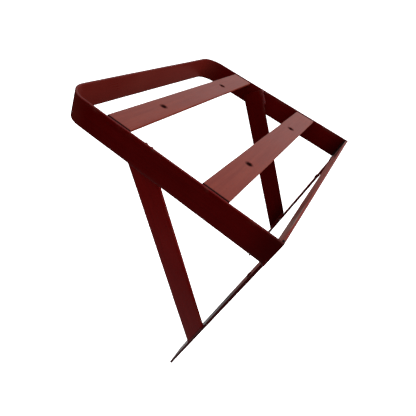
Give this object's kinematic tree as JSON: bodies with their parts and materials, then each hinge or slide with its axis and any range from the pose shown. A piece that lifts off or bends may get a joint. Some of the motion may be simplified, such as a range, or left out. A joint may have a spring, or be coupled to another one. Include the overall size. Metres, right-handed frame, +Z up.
{
  "type": "luggage rack",
  "caption": "Wall-hung luggage rack welded from dark red flat bar: a hoop with rounded front corners, flat cross bars, sloping braces and upright straps.",
  "frame": {"origin": "centre of the back bar's rear face, in the plane that lies against the wall", "axes": "+Y out of the wall face, +Z up, +X to one side; the bags rest on the -Y side"},
  "size_m": [0.45, 0.35, 0.3513],
  "materials": {
    "frame_paint": "worn dark red paint, semi gloss",
    "slat_paint": "worn red paint, faded and scuffed",
    "rivet_paint": "dark red paint",
    "weld_bead": "rough painted weld"
  },
  "bodies": {
    "root": {"hoop": "frame_paint", "back_bar": "frame_paint", "cross_bar_front": "slat_paint", "cross_bar_rear": "slat_paint", "brace_left": "frame_paint", "brace_right": "frame_paint", "strap_left": "frame_paint", "strap_right": "frame_paint", "rivet_left": "rivet_paint", "rivet_right": "rivet_paint", "weld_brace_left": "weld_bead", "weld_brace_right": "weld_bead", "weld_corner_left": "weld_bead", "weld_corner_right": "weld_bead", "weld_cross_front_left": "weld_bead", "weld_cross_front_right": "weld_bead", "weld_cross_rear_left": "weld_bead", "weld_cross_rear_right": "weld_bead", "weld_foot_left": "weld_bead", "weld_foot_right": "weld_bead", "weld_strap_left": "weld_bead", "weld_strap_right": "weld_bead"}
  },
  "joints": []
}
